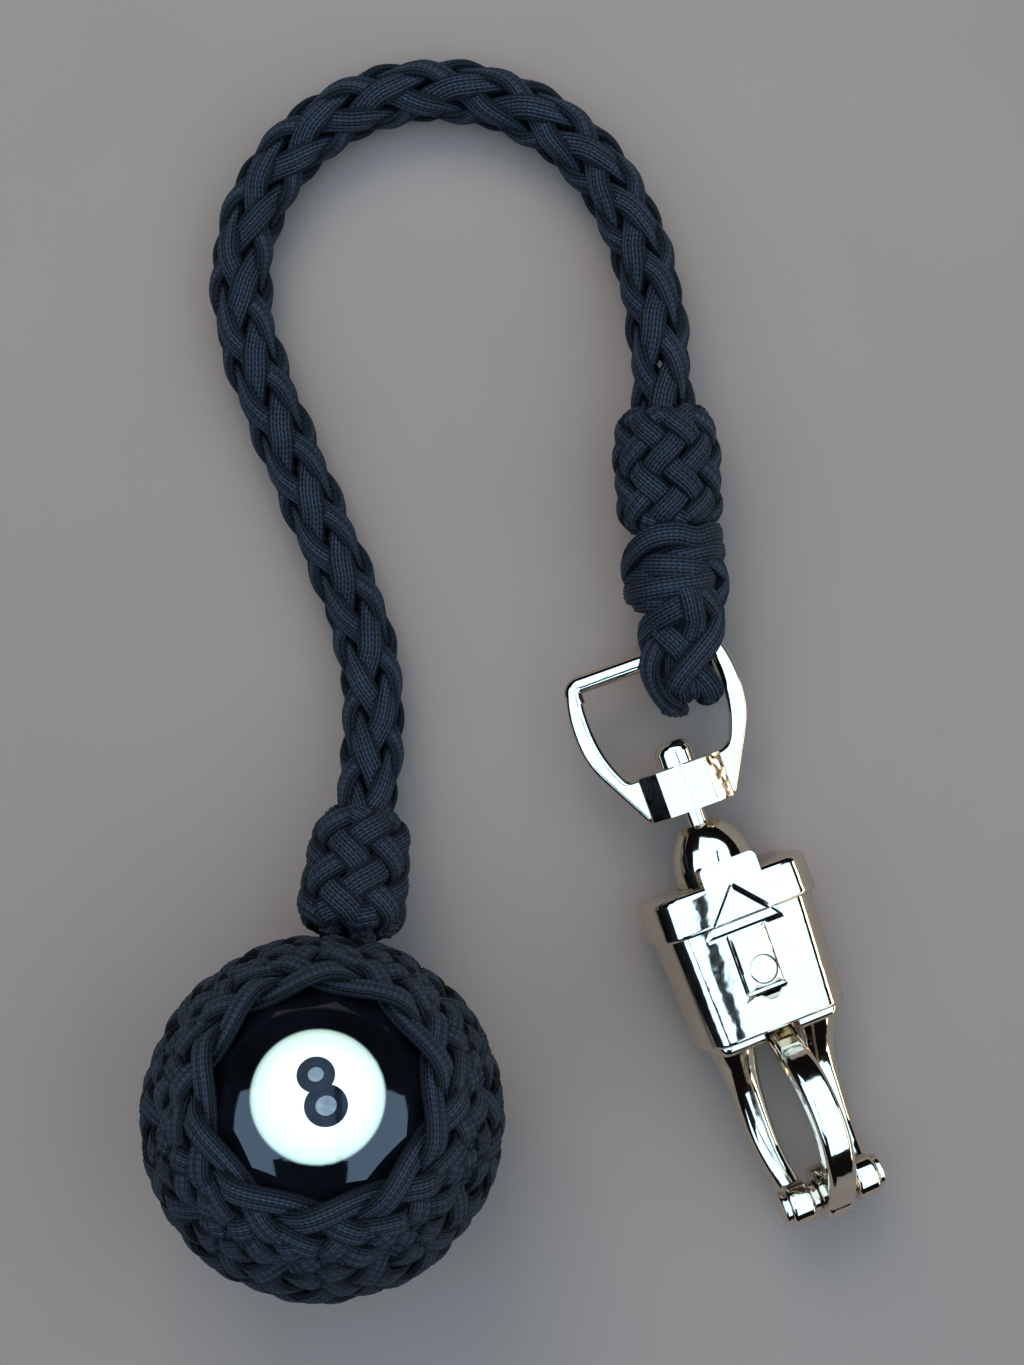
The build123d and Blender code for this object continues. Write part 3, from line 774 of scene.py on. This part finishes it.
KNOT_RADIUS = 8.1 * MM
LIFT_STEP = 1.25 * MM
LOOP_HALF_WIDTH = 5.6 * MM
LOOP_HALF_DEPTH = 4.6 * MM
LOOP_NECK = 1 / 3  # share of the loop over which it slims from the knot's width
LOOP_FACING = 0.5
STOPPER_STRAP = (4.1 * MM, 2.1 * MM)
LOOP_STRAP = (4.9 * MM, 2.4 * MM)
TIED_STEP = 0.35 * MM
TIED_RIBS = 0.15 * MM
TIED_CUP = 0.05 / MM
END_WIDTH = 0.72
END_TAPER = 3 * MM
STOPPER_TOP = UPPER_KNOT_START + KNOT_WAY * UPPER_KNOT_LENGTH
STOPPER_FOOT = STOPPER_TOP + KNOT_WAY * STOPPER_LENGTH
BAR_UNDER_LOOP = Vector((64.6 * MM, 83.3 * MM, BAR.z))


def clamp(value, low, high):
    """The value, kept between low and high."""
    return min(max(value, low), high)


def tied_strap(points, width, thickness):
    """A strap tied by hand. A point is x and y in millimetres, 1 for front or -1 for back, and lift."""
    places = []
    for x, y, face, lift in points:
        share = clamp((STOPPER_TOP.y - y * MM) / (STOPPER_TOP.y - STOPPER_FOOT.y), 0, 1)
        low = clamp((STOPPER_FOOT.y - y * MM) / (STOPPER_FOOT.y - BAR_UNDER_LOOP.y), 0, 1)
        slim = min(low / LOOP_NECK, 1)
        half_width = KNOT_RADIUS + (LOOP_HALF_WIDTH - KNOT_RADIUS) * slim
        half_depth = KNOT_RADIUS + (LOOP_HALF_DEPTH - KNOT_RADIUS) * slim
        if low == 0:
            core = STOPPER_TOP.lerp(STOPPER_FOOT, share)
        else:
            core = STOPPER_FOOT.lerp(BAR_UNDER_LOOP, low)
        angle = math.asin(clamp((x * MM - core.x) / half_width, -1, 1))
        outward = Vector((math.sin(angle), 0, face * math.cos(angle)))
        reach = Vector((half_width * outward.x, 0, half_depth * outward.z))
        places.append(Vector((core.x, y * MM, core.z)) + reach + outward * lift * LIFT_STEP)
    line, reach = spaced(centreline(places), TIED_STEP)
    core_start, core_end = np.array(STOPPER_TOP), np.array(BAR_UNDER_LOOP)
    span = core_end - core_start
    near = np.clip((line - core_start) @ span / (span @ span), 0, 1)
    outward = line - core_start - np.outer(near, span)
    # The loop's strands face the front and back more squarely than the knot's
    outward[line[:, 1] < STOPPER_FOOT.y, 0] *= LOOP_FACING
    from_end = np.minimum(np.arange(len(line)), np.arange(len(line))[::-1]) * TIED_STEP
    swell = END_WIDTH + (1 - END_WIDTH) * np.clip(from_end / END_TAPER, 0, 1)
    return lay_strap(line, outward, width * swell, thickness, TIED_RIBS, TIED_CUP)


# Each strand's points, in the order it was led through
STOPPER_STRANDS = (
    ((62.0, 97.6, -1, 0.0), (55.6, 96.5, -1, 0.2), (54.9, 98.2, 1, 0.6), (56.6, 101.0, 1, 1.0),
     (59.3, 103.9, 1, 1.0), (63.6, 104.6, 1, 0.9), (66.6, 103.4, 1, 0.9), (69.2, 104.9, 1, 0.9),
     (72.4, 105.0, 1, 0.3), (71.8, 104.0, -1, 0.2), (65.0, 102.0, -1, 0.4)),
    ((62.4, 99.9, 1, -0.9), (65.4, 100.7, 1, 0.4), (69.0, 101.9, 1, 1.0), (72.4, 102.0, 1, 0.6),
     (72.4, 101.0, -1, 0.3), (65.0, 99.6, -1, 0.5), (57.0, 99.0, -1, 0.0)),
    ((56.6, 98.9, 1, -1.0), (59.6, 98.7, 1, 0.6), (63.8, 98.5, 1, 0.9), (67.6, 98.2, 1, 0.5),
     (70.6, 98.0, 1, -1.0)),
    ((63.5, 96.4, 1, -1.0), (59.6, 96.6, 1, 0.1), (55.4, 96.9, 1, 0.5), (55.2, 97.4, -1, 0.4),
     (62.0, 98.4, -1, 0.6), (70.5, 98.2, -1, 0.0)),
    ((72.2, 97.0, 1, -1.0), (69.4, 96.3, 1, 0.5), (65.8, 95.4, 1, 0.9), (61.0, 94.6, 1, 0.9),
     (56.8, 93.7, 1, 0.7), (55.4, 93.4, 1, 0.3), (55.6, 94.2, -1, 0.4), (63.0, 95.4, -1, 0.8),
     (71.8, 96.0, -1, 0.4)),
    ((66.0, 92.4, 1, -0.9), (61.4, 92.2, 1, 0.1), (57.4, 92.4, 1, 0.1), (56.4, 92.2, -1, 0.0),
     (63.0, 92.4, -1, 0.2), (71.0, 93.0, -1, 0.0)),
    ((69.0, 101.0, 1, -1.0), (70.6, 99.2, 1, 0.4), (71.8, 96.8, 1, 0.8), (71.6, 94.2, 1, 0.7),
     (70.2, 91.6, 1, 0.3), (68.4, 90.0, 1, -0.6)),
)
LOOP_STRANDS = (
    ((66.6, 92.8, 1, 0.4), (63.6, 90.9, 1, 1.2), (60.4, 88.4, 1, 1.2), (58.4, 85.6, 1, 0.8),
     (57.9, 82.6, 1, 0.0), (58.6, 80.4, -1, 0.0)),
    ((65.2, 94.4, 1, 0.9), (66.0, 91.0, 1, 1.4), (66.4, 87.4, 1, 1.3), (65.9, 84.2, 1, -0.3)),
    ((59.2, 89.4, 1, -0.6), (61.4, 87.0, 1, 0.9), (64.2, 83.8, 1, 0.9), (66.4, 80.6, 1, -0.3),
     (68.6, 77.6, 1, 0.9), (70.6, 75.0, 1, 0.4), (71.2, 73.9, -1, -0.2), (69.0, 78.0, -1, 0.2),
     (67.0, 86.0, -1, 0.2), (66.5, 93.0, -1, 0.0)),
    ((71.6, 93.4, 1, -0.4), (70.3, 89.4, 1, 0.9), (68.6, 85.4, 1, 1.8), (66.0, 81.2, 1, 1.8),
     (63.8, 77.8, 1, 0.8), (63.0, 75.6, 1, -0.4), (63.6, 75.4, -1, -0.4), (65.0, 82.0, -1, 0.4),
     (65.0, 93.0, -1, 0.2)),
    ((61.2, 86.0, 1, -0.6), (60.0, 82.6, 1, 0.9), (60.0, 78.6, 1, 1.0), (61.2, 74.6, 1, 0.5),
     (63.4, 72.0, 1, 0.0), (64.4, 72.2, -1, 0.0), (62.0, 78.0, -1, 0.3), (60.6, 86.0, -1, 0.3),
     (61.5, 94.0, -1, 0.0)),
    ((67.6, 94.6, 1, 0.2), (69.2, 92.4, 1, 0.6), (70.6, 90.0, 1, 0.2), (71.2, 87.8, 1, -0.6)),
    ((62.8, 93.0, 1, -1.2), (62.8, 86.0, 1, -1.0), (63.4, 79.0, 1, -0.9), (64.4, 74.4, 1, -1.0),
     (64.6, 74.4, -1, -1.0), (62.6, 84.0, -1, -0.5), (62.6, 93.0, -1, -0.5)),
    ((67.2, 93.0, 1, -1.2), (67.4, 86.0, 1, -1.0), (67.4, 79.6, 1, -0.9), (67.2, 75.2, 1, -1.0),
     (67.2, 75.2, -1, -1.0), (67.6, 84.0, -1, -0.5), (67.4, 93.0, -1, -0.5)),
)

lower_wrap = barrel_strap(
    start=LANYARD_START + EXIT_WAY * LOWER_WRAP_START,
    way=EXIT_WAY,
    length=LOWER_KNOT_LENGTH + NECK_LENGTH - LOWER_WRAP_START,
    radii=(10.6 * MM, 9.9 * MM, 9.0 * MM),
    bights=6,
    steps=900,
    width=5.3 * MM,
    thickness=2.0 * MM,
    lift=1.15 * MM,
    swing=0.08,
    rise=0.03,
    turn=0.3,
)
upper_wrap = barrel_strap(
    start=UPPER_KNOT_START,
    way=KNOT_WAY,
    length=UPPER_KNOT_LENGTH,
    radii=(9.6 * MM, 10.2 * MM, 9.8 * MM),
    bights=8,
    steps=1100,
    width=4.5 * MM,
    thickness=1.9 * MM,
    lift=1.05 * MM,
    swing=0.09,
    rise=0.03,
    turn=0.1,
)
stopper_core = barrel_strap(
    start=STOPPER_TOP,
    way=KNOT_WAY,
    length=STOPPER_LENGTH,
    radii=(7.4 * MM, 7.5 * MM, 7.0 * MM),
    bights=3,
    steps=700,
    width=4.4 * MM,
    thickness=1.6 * MM,
    lift=0.5 * MM,
    swing=0.0,
    rise=0.0,
    turn=0.6,
)
stopper_strands = [tied_strap(points, *STOPPER_STRAP) for points in STOPPER_STRANDS]
loop_strands = [tied_strap(points, *LOOP_STRAP) for points in LOOP_STRANDS]
for name, node, straps, closed in (
    ("lower_knot_wrap", "lower_knot", [lower_wrap], True),
    ("upper_knot_wrap", "upper_knot", [upper_wrap], True),
    ("stopper_knot_core", "stopper_knot", [stopper_core], True),
    ("stopper_knot_strands", "stopper_knot", stopper_strands, False),
    ("end_loop_strands", "end_loop", loop_strands, False),
):
    wrap = finish_cord(name, straps, sheath, closed)
    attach(wrap, "leash")
    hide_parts(node)


# Numeral on the spots: enamel rings let into the white and laid on the ball's curve

NUMERAL_PLACE = (0.5 * MM, 0.9 * MM)
NUMERAL_LEAN = math.radians(26)
NUMERAL_STROKE = 1.95 * MM
NUMERAL_PROUD = 0.035 * MM
COUNTER_PROUD = 0.015 * MM
COUNTER_OVERLAP = 0.15 * MM
ENAMEL_DEPTH = 0.2 * MM
# The numeral's upper and lower lobe: middle, width and height
LOBES = (((0.0, 2.8 * MM), 6.6 * MM, 6.4 * MM), ((0.0, -2.8 * MM), 7.5 * MM, 7.2 * MM))
LOBE_SIDES = 96
PRISM_HEIGHT = 1 * MM
FACE_SPACING = 0.66 * MM
CUTS_EACH_SIDE = 10
CUT_WELD_GAP = 0.0005 * MM
NUMERAL_CREASE = math.radians(40)
SPOT_RIGHT = UP.cross(EXIT_FLAT) * -1
SPOTS = (("", POLE, SPOT_RIGHT), ("_back", -POLE, -SPOT_RIGHT))


def lobe_prism(lobe, inset):
    """A flat oval prism the size of one lobe, drawn in by an inset."""
    (x, y), width, height = lobe
    mesh = bmesh.new()
    bmesh.ops.create_circle(mesh, cap_ends=True, segments=LOBE_SIDES, radius=0.5)
    bmesh.ops.scale(mesh, vec=(width - 2 * inset, height - 2 * inset, 1), verts=mesh.verts[:])
    bmesh.ops.translate(mesh, vec=(x, y, -PRISM_HEIGHT / 2), verts=mesh.verts[:])
    raised = bmesh.ops.extrude_face_region(mesh, geom=mesh.faces[:])["geom"]
    tops = [item for item in raised if isinstance(item, bmesh.types.BMVert)]
    bmesh.ops.translate(mesh, vec=(0, 0, PRISM_HEIGHT), verts=tops)
    bmesh.ops.recalc_face_normals(mesh, faces=mesh.faces[:])
    data = bpy.data.meshes.new("lobe")
    mesh.to_mesh(data)
    mesh.free()
    return data


def combine(operation, base, others):
    """The base mesh joined with or cut by other meshes."""
    holder = bpy.data.objects.new("base", base)
    bpy.context.scene.collection.objects.link(holder)
    helpers = []
    for data in others:
        helper = bpy.data.objects.new("helper", data)
        bpy.context.scene.collection.objects.link(helper)
        modifier = holder.modifiers.new(operation, "BOOLEAN")
        modifier.operation = operation
        modifier.solver = "EXACT"
        modifier.object = helper
        helpers.append(helper)
    bpy.context.view_layer.update()
    depsgraph = bpy.context.evaluated_depsgraph_get()
    result = bpy.data.meshes.new_from_object(holder.evaluated_get(depsgraph))
    for helper in (holder, *helpers):
        bpy.data.objects.remove(helper)
    return result


def lay_on_spot(name, data, proud, material, pole, right):
    """Cuts a flat prism to small faces, then lays it on the ball's curve round a pole."""
    up = pole.cross(right)
    mesh = bmesh.new()
    mesh.from_mesh(data)
    for axis in (0, 1):
        for step in range(-CUTS_EACH_SIDE, CUTS_EACH_SIDE + 1):
            place, normal = Vector(), Vector()
            place[axis] = step * FACE_SPACING
            normal[axis] = 1
            everything = mesh.verts[:] + mesh.edges[:] + mesh.faces[:]
            bmesh.ops.bisect_plane(mesh, geom=everything, plane_co=place, plane_no=normal)
    bmesh.ops.remove_doubles(mesh, verts=mesh.verts[:], dist=CUT_WELD_GAP)
    bmesh.ops.triangulate(mesh, faces=mesh.faces[:])
    turn = Matrix.Rotation(NUMERAL_LEAN, 2)
    for vertex in mesh.verts:
        flat = turn @ vertex.co.xy + Vector(NUMERAL_PLACE)
        way = (pole * BALL_RADIUS + right * flat.x + up * flat.y).normalized()
        level = proud if vertex.co.z > 0 else -ENAMEL_DEPTH
        vertex.co = BALL_CENTRE + way * (BALL_RADIUS + level)
    bmesh.ops.recalc_face_normals(mesh, faces=mesh.faces[:])
    for edge in mesh.edges:
        edge.smooth = edge.calc_face_angle(0) < NUMERAL_CREASE
    data = bpy.data.meshes.new(name)
    mesh.to_mesh(data)
    mesh.free()
    data.shade_smooth()
    data.materials.append(material)
    piece = bpy.data.objects.new(name, data)
    bpy.context.scene.collection.objects.link(piece)
    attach(piece, "leash")


rings = [combine("DIFFERENCE", lobe_prism(lobe, 0), [lobe_prism(lobe, NUMERAL_STROKE)]) for lobe in LOBES]
figure = combine("UNION", rings[0], rings[1:])
counters = [lobe_prism(lobe, NUMERAL_STROKE - COUNTER_OVERLAP) for lobe in LOBES]
inner = combine("UNION", counters[0], counters[1:])
black = polished_enamel("number_enamel", 0.05, 0.16, 2.5 * MM, [(0.3, "14161A"), (0.7, "20252B")])
grey = polished_enamel("counter_enamel", 0.06, 0.2, 2 * MM, [(0.35, "6B7070"), (0.65, "8A8C88")])
for side, pole, right in SPOTS:
    lay_on_spot("numeral" + side, figure, NUMERAL_PROUD, black, pole, right)
    lay_on_spot("numeral_counters" + side, inner, COUNTER_PROUD, grey, pole, right)


# Sleeve: the cast sleeve with its arrow cut in the front

FLANGE_FACE = 8.9 * MM
FLANGE_END = 19.4 * MM
SLEEVE_FACE = 8.36 * MM
SLEEVE_FOOT_FACE = 8.18 * MM
ARROW_MIDDLE = -0.6 * MM
ARROW_GROOVE = 1.1 * MM
ARROW_TIP = 13.0 * MM
ARROW_BASE = 21.2 * MM
ARROW_FOOT = 33.0 * MM
ARROW_HALF_HEAD = 7.6 * MM
ARROW_HALF_SHAFT = 3.7 * MM
GROOVE_FLATTENING = 0.5
GROOVE_LAP = 0.2 * MM
GROOVE_OVERRUN = 0.3 * MM
SLEEVE_WELD_GAP = 0.001 * MM
SLEEVE_CREASE = math.radians(20)


def groove_bar(start, end):
    """A bar on edge between two places given as reach, side and depth in the snap's own directions."""
    ends = [
        SWIVEL + SNAP_WAY * reach + SNAP_SIDE * (side + ARROW_MIDDLE) + SNAP_FRONT * depth
        for reach, side, depth in (start, end)
    ]
    run = ends[1] - ends[0]
    way = run.normalized()
    across = SNAP_FRONT.cross(way).normalized()
    half = ARROW_GROOVE / 2
    mesh = bmesh.new()
    bmesh.ops.create_cone(mesh, cap_ends=True, segments=4, radius1=half, radius2=half, depth=run.length)
    bmesh.ops.scale(mesh, vec=(1, GROOVE_FLATTENING, 1), verts=mesh.verts[:])
    turn = Matrix((across, way.cross(across), way)).transposed().to_4x4()
    placed = Matrix.Translation((ends[0] + ends[1]) / 2) @ turn
    bmesh.ops.transform(mesh, matrix=placed, verts=mesh.verts[:])
    bmesh.ops.recalc_face_normals(mesh, faces=mesh.faces[:])
    data = bpy.data.meshes.new("groove")
    mesh.to_mesh(data)
    mesh.free()
    return data


def arrow_grooves():
    """The bars that cut the arrow: two sides, two barbs, the shaft, its foot and the head's base."""
    share = (FLANGE_END - ARROW_TIP) / (ARROW_BASE - ARROW_TIP)
    lines = []
    for way in (1, -1):
        side = way * ARROW_HALF_HEAD * share
        barb = (ARROW_BASE, way * ARROW_HALF_HEAD, SLEEVE_FACE)
        shoulder = (ARROW_BASE, way * ARROW_HALF_SHAFT, SLEEVE_FACE)
        foot = (ARROW_FOOT, way * ARROW_HALF_SHAFT, SLEEVE_FOOT_FACE)
        lines += [
            ((ARROW_TIP, 0, FLANGE_FACE), (FLANGE_END + GROOVE_LAP, side, FLANGE_FACE)),
            ((FLANGE_END - GROOVE_OVERRUN, side, SLEEVE_FACE), barb),
            (barb, shoulder),
            (shoulder, foot),
        ]
    for reach, face in ((ARROW_FOOT, SLEEVE_FOOT_FACE), (ARROW_BASE, SLEEVE_FACE)):
        lines.append(((reach, -ARROW_HALF_SHAFT, face), (reach, ARROW_HALF_SHAFT, face)))
    return [groove_bar(*line) for line in lines]


def sleeve_with_arrow():
    """A welded copy of the sleeve with the arrow's grooves cut in its front."""
    mesh = bmesh.new()
    mesh.from_mesh(frame["nodes"]["sleeve"].data)
    bmesh.ops.remove_doubles(mesh, verts=mesh.verts[:], dist=SLEEVE_WELD_GAP)
    bmesh.ops.recalc_face_normals(mesh, faces=mesh.faces[:])
    data = bpy.data.meshes.new("sleeve_body")
    mesh.to_mesh(data)
    mesh.free()
    result = combine("DIFFERENCE", data, arrow_grooves())
    mesh = bmesh.new()
    mesh.from_mesh(result)
    bmesh.ops.remove_doubles(mesh, verts=mesh.verts[:], dist=CUT_WELD_GAP)
    for face in mesh.faces:
        face.smooth = True
    for edge in mesh.edges:
        edge.smooth = edge.calc_face_angle(0) < SLEEVE_CREASE
    mesh.to_mesh(result)
    mesh.free()
    result.materials.clear()
    return result


# Finish of the metal and of the parts carried over from the frame

NICKEL_TINT = ("D6C8B2", "E6DAC6")
NICKEL_ROUGHNESS = 0.05
WIRE_TINT = ("8C8C8C", "A5A5A5")
WIRE_ROUGHNESS = 0.22
SLEEVE_CROWN = 0.0215 / MM

finishes = {
    "ball": polished_phenolic_black(),
    "spot": polished_phenolic_white(),
    "nickel": bright_nickel("bright_nickel", NICKEL_TINT, NICKEL_ROUGHNESS),
    "spring_steel": bright_nickel("drawn_spring_wire", WIRE_TINT, WIRE_ROUGHNESS),
}
crowned_nickel = bright_nickel("crowned_bright_nickel", NICKEL_TINT, NICKEL_ROUGHNESS, SLEEVE_CROWN)
arrow_sleeve = bpy.data.objects.new("sleeve_cast", sleeve_with_arrow())
arrow_sleeve.data.materials.append(crowned_nickel)
bpy.context.scene.collection.objects.link(arrow_sleeve)
even_normals = arrow_sleeve.modifiers.new("even_normals", "WEIGHTED_NORMAL")
even_normals.keep_sharp = True
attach(arrow_sleeve, "sleeve")
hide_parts("sleeve")
for part in frame["record"]["subparts"]:
    finish = finishes.get(part["material_slot"])
    if finish:
        data = frame["nodes"][part["node"]].data
        data.materials.clear()
        data.materials.append(finish)
